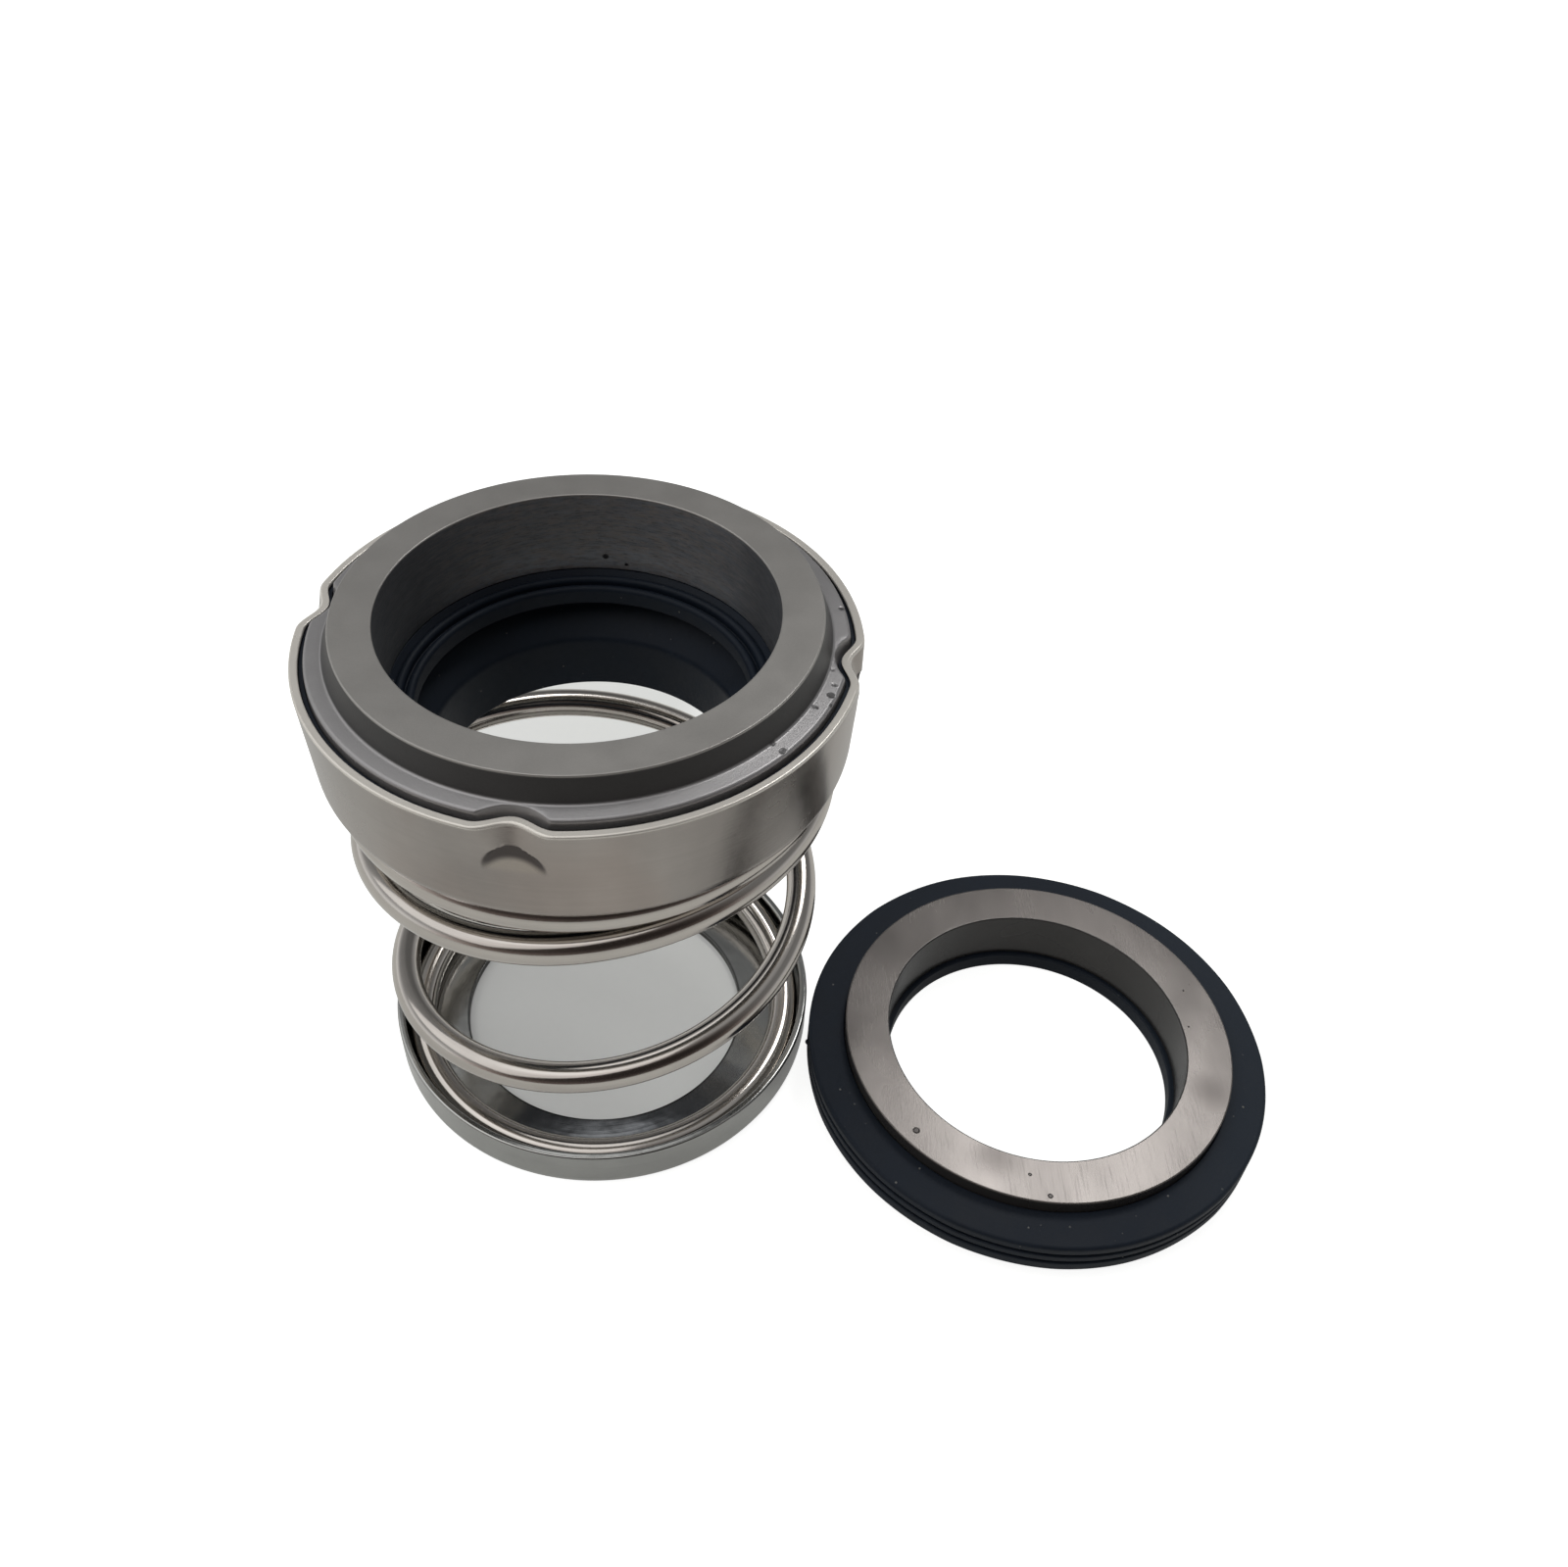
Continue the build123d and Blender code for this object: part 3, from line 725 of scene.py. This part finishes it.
class SEAL_OT_spring_seat(Operator):
    """Pressed L-section ring that holds the foot of the spring"""

    bl_idname = "seal.spring_seat"
    bl_label = "Spring seat"

    def execute(self, context):
        look = context.scene.seal_sheet
        r, top, t = SEAT_TOP.x, SEAT_TOP.z, look.sheet
        section = rounded(
            [
                (SEAT_HOLE_R, 0.0, 0.06 * MM),
                (r, 0.0, 1.5 * MM),
                (r, top, 0.25 * MM),
                (r - t, top, 0.25 * MM),
                (r - t, t, 0.7 * MM),
                (SEAT_HOLE_R, t, 0.1 * MM),
            ]
        )
        points, faces = lathe(fine(section, 0.8 * MM), even_angles(220))
        # the last number is the strength of the painted dark reflection on the seat's floor
        finish = sheet_finish("pressed_sheet", look.seat_colour, look.roughness - 0.11, 0.7, 0.5)
        piece = add_piece("spring_seat_ring", points, faces, "base", finish)
        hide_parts("spring_seat")
        return {"FINISHED"}


class SEAL_OT_spring(Operator):
    """Coil spring of round wire with a flat turn at its foot and a closed, ground one at its top"""

    bl_idname = "seal.spring"
    bl_label = "Spring"

    def execute(self, context):
        look = context.scene.seal_spring
        start, end, ease = -15.0, 690.0, 0.08
        flat, closed = 275.0, 360.0  # degrees of the flat turn at the foot and of the closed one above
        steps, sides = 1001, 44
        turn = np.linspace(start - flat, end + closed, steps)
        points, faces, run = coil_tube(look, turn, start, end, ease, sides)
        piece = add_piece("spring_coil", points, faces, "base", wire_finish(look))
        uv = piece.data.uv_layers.new(name="wire")
        uv.data.foreach_set("uv", run.ravel().astype(np.float32))
        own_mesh(piece)
        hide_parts("spring")
        return {"FINISHED"}


class SEAL_OT_retainer(Operator):
    """Drawn cup with a rounded rim, four drive dents and a half-moon stake under each"""

    bl_idname = "seal.retainer"
    bl_label = "Retainer"

    def execute(self, context):
        look = context.scene.seal_sheet
        rim, floor, t = RETAINER_TOP.z, RETAINER_FLOOR, look.sheet
        wall_r, hole = RETAINER_R - look.flare, SHAFT_R + 4.5 * MM
        low = rim - 5.2 * MM
        section = rounded(
            [
                (hole, floor, 0.2 * MM),
                (wall_r, floor, look.corner),
                (wall_radius(look, low), low, 0.0),
                (RETAINER_R, rim, 0.2 * MM),
                (RETAINER_R - t, rim, 0.12 * MM),
                (wall_radius(look, low) - t, low, 0.0),
                (wall_r - t, floor + t, look.corner - t),
                (hole, floor + t, 0.1 * MM),
            ],
            steps=10,
        )

        stake_depth, soft_low, soft_high = 0.72 * MM, 0.9 * MM, 0.15 * MM

        def shift(r, z, a):
            """Dents, and on the outside the stakes.

            At a depth h under its arch's top a stake is pressed in by stake_depth (1 - h / stake_h).
            Its edge is soft over a width that narrows from soft_low to soft_high at the top.
            """
            push = dent_push(look, a, r, z, rim)
            h = rim - z - look.stake_drop
            inside = look.stake_r - np.hypot(off_dent(a, r), np.minimum(h - look.stake_r, 0))
            up = np.clip(1 - h / look.stake_h, 0, 1)
            edge = np.clip(inside / (soft_low - (soft_low - soft_high) * up), 0, 1)
            ramp = stake_depth * edge * up
            outer = r > wall_radius(look, z) - 0.3 * t
            return -np.where(outer & (z > low), np.maximum(push, ramp), push)

        angles = dent_angles_fine(160, radians(9.5), radians(0.24))
        points, faces = lathe(fine(section, 0.6 * MM, low - GUARD, 0.16 * MM), angles, shift=shift)
        finish = retainer_finish(look)
        piece = add_piece("retainer_cup", points, faces, "head", finish, 40.0)
        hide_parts("retainer")
        return {"FINISHED"}


class SEAL_OT_face_ring(Operator):
    """Hard face ring with a raised nose, a shoulder and four drive notches"""

    bl_idname = "seal.face_ring"
    bl_label = "Face ring"

    def execute(self, context):
        look = context.scene.seal_carbide
        sheet = context.scene.seal_sheet
        top, back, rim = FACE_TOP, FACE_BACK, RETAINER_TOP.z
        section = rounded(
            [
                (FACE_BORE_R, back, 0.15 * MM),
                (23.2 * MM, back, 0.15 * MM),
                (23.2 * MM, top - 6.6 * MM, 0.3 * MM),
                (24.6 * MM, top - 5.2 * MM, 0.3 * MM),
                (24.5 * MM, top - 2.5 * MM, 0.35 * MM),
                (SHOULDER_R, top - 2.35 * MM, 0.3 * MM),
                (FACE_R, top, 0.12 * MM),
                (FACE_BORE_R, top, 0.12 * MM),
            ],
            steps=6,
        )

        notch_r, lean, soft = 4.6 * MM, 0.372, 0.25 * MM
        notch_depth = sheet.dent_depth + 1.2 * MM

        def shift(r, z, a):
            """Notches: what reaches into a leaning cylinder of radius notch_r is pushed back out of it.

            At a distance y from the middle the cylinder's near side is middle - sqrt(notch_r^2 - y^2)
            from the axis. The push is what stands past that, with a parabola for a start.
            """
            y = off_dent(a, r)
            middle = RETAINER_R - notch_depth + notch_r + lean * (rim - z)
            groove = middle - np.sqrt(np.maximum(notch_r**2 - y * y, 0))
            excess = np.where(y < notch_r, r * np.cos(y / np.maximum(r, 1e-4)) - groove, -1.0)
            push = np.where(excess > soft, excess, np.maximum(excess + soft, 0) ** 2 / (4 * soft))
            return -np.where(r > 22.95 * MM, push, 0.0)

        angles = dent_angles_fine(220, radians(13.0), radians(0.5))
        points, faces = lathe(fine(section, 0.3 * MM), angles, shift=shift)
        finish = rotating_carbide_finish(look)
        piece = add_piece("face_ring_body", points, faces, "head", finish)
        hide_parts("face_ring")
        return {"FINISHED"}


class SEAL_OT_bellows(Operator):
    """Rubber bellows: sleeve at the rim, beads, convolution, funnel and tail"""

    bl_idname = "seal.bellows"
    bl_label = "Bellows"

    def execute(self, context):
        sheet = context.scene.seal_sheet
        look = context.scene.seal_rubber
        back, rim = FACE_BACK, RETAINER_TOP.z
        head = back - 2.6 * MM
        fold_in, fold_out = 0.9 * MM, 2.25 * MM
        fold = np.array([17.0 * MM, head - fold_in])
        lip = 15.8 * MM
        bead_r = 0.45 * MM
        bead = back - 0.75 * MM
        step = bead - bead_r
        inner = arc(fold, fold_in, 90, -45, 9)
        web = RETAINER_FLOOR + sheet.sheet + FIT
        outer = arc(fold, fold_out, -45, np.degrees(np.arcsin((web - fold[1]) / fold_out)), 6)
        foot = TAIL_FOOT
        tail_in = SHAFT_R
        tail_out = 16.8 * MM
        wall = RETAINER_R - sheet.sheet - FIT
        sleeve = rim - 0.45 * MM
        low_wall = wall_radius(sheet, web) - sheet.sheet - FIT
        corner = rounded([(*outer[-1], 0), (low_wall, web, 1.0 * MM), (wall, sleeve, 0)])[1:-1]
        funnel = rounded(
            [
                (*inner[-1], 0.0),
                (tail_in, inner[-1][1] - (inner[-1][0] - tail_in), 1.0 * MM),
                (tail_in, foot, 0.3 * MM),
                (tail_out, foot, 0.3 * MM),
                (tail_out, outer[0][1] - (outer[0][0] - tail_out), 0.5 * MM),
                (*outer[0], 0.0),
            ]
        )
        section = np.vstack(
            (
                arc((lip + bead_r, step), bead_r, 90, 180, 7),
                rounded([(lip, step, 0), (lip, head, 0.12 * MM), (fold[0], head, 0)])[1:-1],
                inner,
                funnel[1:-1],
                outer,
                corner,
                [(wall - 0.02 * MM, sleeve), (RETAINER_R - 1.25 * MM + FIT, sleeve)],
                [(24.65 * MM, FACE_TOP - 5.2 * MM), (23.25 * MM, FACE_TOP - 6.6 * MM)],
                [(23.25 * MM, back - FIT), (FACE_BORE_R, back - FIT)],
                arc((17.3 * MM, bead), bead_r, 20, 180, 11),
                [(16.85 * MM, step + 0.06 * MM), (16.75 * MM, step)],
                arc((lip + bead_r, step), bead_r, 15, 80, 6),
            )
        )

        def shift(r, z, a):
            """The retainer's dents, in the sleeve."""
            push = dent_push(sheet, a, r, z, rim)
            return -np.where(r > 22.0 * MM, push, 0.0)

        angles = dent_angles_fine(200, radians(9.5), radians(0.6))
        points, faces = lathe(fine(section[::-1], 0.4 * MM)[::-1], angles, shift=shift)
        finish = rubber_finish("bellows_rubber", look, 0.7)
        piece = add_piece("bellows_body", points, faces, "head", finish, 50.0)
        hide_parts("bellows")
        return {"FINISHED"}


class SEAL_OT_drive_band(Operator):
    """Pressed band round the bellows tail"""

    bl_idname = "seal.drive_band"
    bl_label = "Drive band"

    def execute(self, context):
        look = context.scene.seal_sheet
        low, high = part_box("drive_band")
        inner, t = 16.85 * MM, 0.8 * MM
        section = rounded(
            [
                (inner, low.z, 0.12 * MM),
                (inner + t, low.z, 0.12 * MM),
                (inner + t, high.z - t, 0.3 * MM),
                (high.x, high.z - t, 0.12 * MM),
                (high.x, high.z, 0.12 * MM),
                (inner, high.z, 0.4 * MM),
            ]
        )
        points, faces = lathe(fine(section, 0.5 * MM), even_angles(160))
        finish = sheet_finish("band_sheet", look.seat_colour, look.roughness, 0.5)
        piece = add_piece("drive_band_ring", points, faces, "head", finish)
        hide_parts("drive_band")
        return {"FINISHED"}


class SEAL_OT_stationary_ring(Operator):
    """Hard seat ring with lapped face"""

    bl_idname = "seal.stationary_ring"
    bl_label = "Stationary ring"

    def execute(self, context):
        look = context.scene.seal_carbide
        low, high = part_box("stationary_ring")
        section = rounded(
            [
                (RING_BORE_R, low.z, 0.12 * MM),
                (RING_R, low.z, 0.12 * MM),
                (RING_R, high.z, 0.12 * MM),
                (RING_BORE_R, high.z, 0.14 * MM),
            ],
            steps=5,
        )
        points, faces = lathe(fine(section, 0.4 * MM), even_angles(240), STAT_CENTRE)
        finish = stationary_carbide_finish(look)
        piece = add_piece("stationary_ring_body", points, faces, "base", finish)
        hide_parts("stationary_ring")
        return {"FINISHED"}


class SEAL_OT_seat_boot(Operator):
    """Rubber boot of the stationary seat with its ribs and moulding nibs"""

    bl_idname = "seal.seat_boot"
    bl_label = "Seat boot"

    def execute(self, context):
        look = context.scene.seal_rubber
        shoulder = 6.3 * MM
        groove, deep, soft = 0.45 * MM, 0.5 * MM, 0.14 * MM
        lip, pocket, sole = 15.7 * MM, RING_R + FIT, 1.9 * MM
        rows = [
            (lip, 0.0, 0.1 * MM),
            (22.6 * MM, 0.0, 0.4 * MM),
            (BOOT_R, 2.3 * MM, 0.4 * MM),
        ]
        for z in (shoulder - 2 * look.rib_pitch, shoulder - look.rib_pitch):
            rows += [
                (BOOT_R, z - groove / 2, soft),
                (BOOT_R - deep, z - groove / 2, 0.1 * MM),
                (BOOT_R - deep, z + groove / 2, 0.1 * MM),
                (BOOT_R, z + groove / 2, soft),
            ]
        rows += [
            (BOOT_R, shoulder, 0.4 * MM),
            (pocket, shoulder + 0.25 * MM, 0.1 * MM),
            (pocket, sole, 0.0),
            (lip, sole, 0.2 * MM),
        ]

        def shift(r, z, a):
            """Slight unevenness of the outside: the sum of two sines of the angle, inwards."""
            wobble = 0.03 * MM * np.sin(5 * a + 1.0) + 0.02 * MM * np.sin(11 * a)
            return np.where(r > BOOT_R - 0.7 * MM, -np.abs(wobble), 0.0)

        section = fine(rounded(rows, steps=6), 0.5 * MM)
        points, faces = lathe(section, even_angles(260), STAT_CENTRE, shift)
        finish = rubber_finish("boot_rubber", look, 1.0)
        piece = add_piece("seat_boot_body", points, faces, "base", finish, 50.0)
        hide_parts("seat_boot")
        for name, angle in (("boot_nib_near", 178.5), ("boot_nib_far", 12.0)):
            points, faces = nib(angle)
            add_piece(name, points, faces, "base", finish, 60.0)
        return {"FINISHED"}


class SEAL_OT_stage(Operator):
    """Pale floor, soft lamps and the camera"""

    bl_idname = "seal.stage"
    bl_label = "Stage"

    def execute(self, context):
        look = context.scene.seal_stage
        scene = context.scene
        scene.view_settings.view_transform = "Standard"
        self.floor(look)
        self.lamps(look)
        self.world(scene, look)
        self.camera(scene)
        return {"FINISHED"}

    def floor(self, look):
        """Paper that shows white to the camera, but keeps its own grey in two places.

        One is the seat's hole, the other a painted soft shadow of the head beyond it. The painted shadow
        lies round a line whose share t runs from nought at its near end to one at its far end, and widens
        along it.
        """
        half = 1.5
        corners = [(-half, -half, 0), (half, -half, 0), (half, half, 0), (-half, half, 0)]
        mesh = bpy.data.meshes.new("floor")
        mesh.from_pydata(corners, [], [(0, 1, 2, 3)])
        f = Finish("pale_floor")
        x, y, _, r = f.axes()
        inside = f.step(r, 18.5 * MM, 16.5 * MM) * 0.80
        near_x, near_y, run_x, run_y = -4 * MM, 10 * MM, -5 * MM, 44 * MM
        square = run_x * run_x + run_y * run_y
        t = f.math("ADD", (y - near_y) * (run_y / square), (x - near_x) * (run_x / square), clamp=True)
        side, back = x - near_x - t * run_x, y - near_y - t * run_y
        away = (side * side + back * back) ** 0.5
        # painted shadow: the white is withheld here in the shape of a soft shadow of the head
        painted_head_shadow = f.step(away / (t * 14 * MM + 18 * MM), 1.0, 0.45) * 0.66
        grain = f.noise(f.placed(), 900.0, 2.0)
        diffuse = f.node("BsdfDiffuse", {}, {"Color": f.shade(tuple(look.floor), 0.985 + grain * 0.03)})
        white = f.node("Emission", {}, {"Color": (1, 1, 1, 1), "Strength": 0.88})
        both = f.node("AddShader")
        f.tree.links.new(diffuse.outputs[0], both.inputs[0])
        f.tree.links.new(white.outputs[0], both.inputs[1])
        rays = f.node("LightPath")
        metal = f.math("MAXIMUM", f.out(rays, "Is Glossy Ray"), f.out(rays, "Is Transmission Ray"))
        shade = f.math("MAXIMUM", inside, painted_head_shadow)
        seen = f.out(rays, "Is Camera Ray") * (1.0 - shade) + metal * look.shown * (1.0 - inside)
        choose = f.node("MixShader", {}, {0: seen})
        f.tree.links.new(diffuse.outputs[0], choose.inputs[1])
        f.tree.links.new(both.outputs[0], choose.inputs[2])
        target = f.node("OutputMaterial")
        f.tree.links.new(choose.outputs[0], target.inputs[0])
        mesh.materials.append(f.material)
        floor = bpy.data.objects.new("floor", mesh)
        floor.location.z = -0.02 * MM
        bpy.context.scene.collection.objects.link(floor)

    def lamps(self, look):
        """Two area lamps. Each row is a name, a power, a width, a place and what it looks at."""
        rows = (
            ("key", look.key, 0.15, (0.1786, 0.2445, 0.4686), (0.04, -0.02, 0.008)),
            ("broad", look.fill, 1.1, (-0.38, -0.05, 0.68), (0.02, 0.0, 0.02)),
        )
        for name, watts, width, place, aim in rows:
            lamp = bpy.data.lights.new(name, "AREA")
            lamp.energy = watts
            lamp.size = width
            thing = bpy.data.objects.new(name, lamp)
            back = (Vector(place) - Vector(aim)).normalized()
            turn = back.to_track_quat("Z", "Y").to_matrix().to_4x4()
            thing.matrix_world = Matrix.Translation(place) @ turn
            bpy.context.scene.collection.objects.link(thing)

    def world(self, scene, look):
        """White to the camera.

        To all else a pale horizon under a dim room, brighter at the sides and brownish and dark in front.
        """
        world = bpy.data.worlds.new("studio")
        world.use_nodes = True
        f = Finish("studio", world.node_tree)
        split = f.node("SeparateXYZ", {}, {0: f.out(f.node("TexCoord"), "Generated")})
        height = f.out(split, 2)
        front = f.step(f.out(split, 1), -0.15, -0.75)
        aside = f.step(f.math("ABSOLUTE", f.out(split, 0)), 0.4, 0.85)
        left = f.step(f.out(split, 0), 0.0, -0.45)
        light = look.horizon + f.step(height, 0.04, 0.4) * (look.room - look.horizon)
        light = light + f.step(height, 0.7, 0.95) * 0.25
        light = light * (1.0 - front * 0.8) * (1.0 + aside * 0.6 + left * 0.8)
        tone = f.mix(front, (0.97, 0.985, 1.0), (1.0, 0.82, 0.76))
        soft = f.node("Background", {}, {"Color": tone, "Strength": light})
        white = f.node("Background", {}, {"Color": (1, 1, 1, 1), "Strength": 1.0})
        choose = f.node("MixShader", {}, {0: f.out(f.node("LightPath"), "Is Camera Ray")})
        f.tree.links.new(soft.outputs[0], choose.inputs[1])
        f.tree.links.new(white.outputs[0], choose.inputs[2])
        target = f.node("OutputWorld")
        f.tree.links.new(choose.outputs[0], target.inputs[0])
        scene.world = world

    def camera(self, scene):
        """Wide lens just above the seal, looking down on it."""
        camera = bpy.data.cameras.new("camera")
        camera.sensor_width = 36.0
        camera.lens = 32.03
        camera.shift_x = 0.0406
        camera.clip_start = 0.01
        thing = bpy.data.objects.new("camera", camera)
        turn = Matrix.Rotation(radians(90 - 43.88), 4, "X") @ Matrix.Rotation(0.022528, 4, "Z")
        thing.matrix_world = Matrix.Translation((0.0130, -0.10043, 0.13369)) @ turn
        scene.collection.objects.link(thing)
        scene.camera = thing


PIECES = (
    SEAL_OT_spring_seat,
    SEAL_OT_spring,
    SEAL_OT_retainer,
    SEAL_OT_face_ring,
    SEAL_OT_bellows,
    SEAL_OT_drive_band,
    SEAL_OT_stationary_ring,
    SEAL_OT_seat_boot,
    SEAL_OT_stage,
)


SETTINGS = {
    "seal_spring": SealSpringSettings,
    "seal_sheet": SealSheetSettings,
    "seal_carbide": SealCarbideSettings,
    "seal_rubber": SealRubberSettings,
    "seal_stage": SealStageSettings,
}


class SEAL_PT_panel(Panel):
    """Lists the pieces of the seal and their settings"""

    bl_idname = "SEAL_PT_panel"
    bl_label = "Mechanical seal"
    bl_space_type = "VIEW_3D"
    bl_region_type = "UI"
    bl_category = "Seal"

    def draw(self, context):
        column = self.layout.column(align=True)
        for piece in PIECES:
            column.operator(piece.bl_idname)
        for name in SETTINGS:
            box = self.layout.box()
            group = getattr(context.scene, name)
            for key in group.bl_rna.properties.keys():
                if key not in ("rna_type", "name"):
                    box.prop(group, key)


def register():
    for kind in (*SETTINGS.values(), *PIECES, SEAL_PT_panel):
        bpy.utils.register_class(kind)
    for name, kind in SETTINGS.items():
        setattr(bpy.types.Scene, name, PointerProperty(type=kind))


def unregister():
    for name in SETTINGS:
        delattr(bpy.types.Scene, name)
    for kind in reversed((*SETTINGS.values(), *PIECES, SEAL_PT_panel)):
        bpy.utils.unregister_class(kind)


def main():
    register()
    for piece in PIECES:
        group, name = piece.bl_idname.split(".")
        getattr(getattr(bpy.ops, group), name)()


if __name__ == "__main__":
    main()
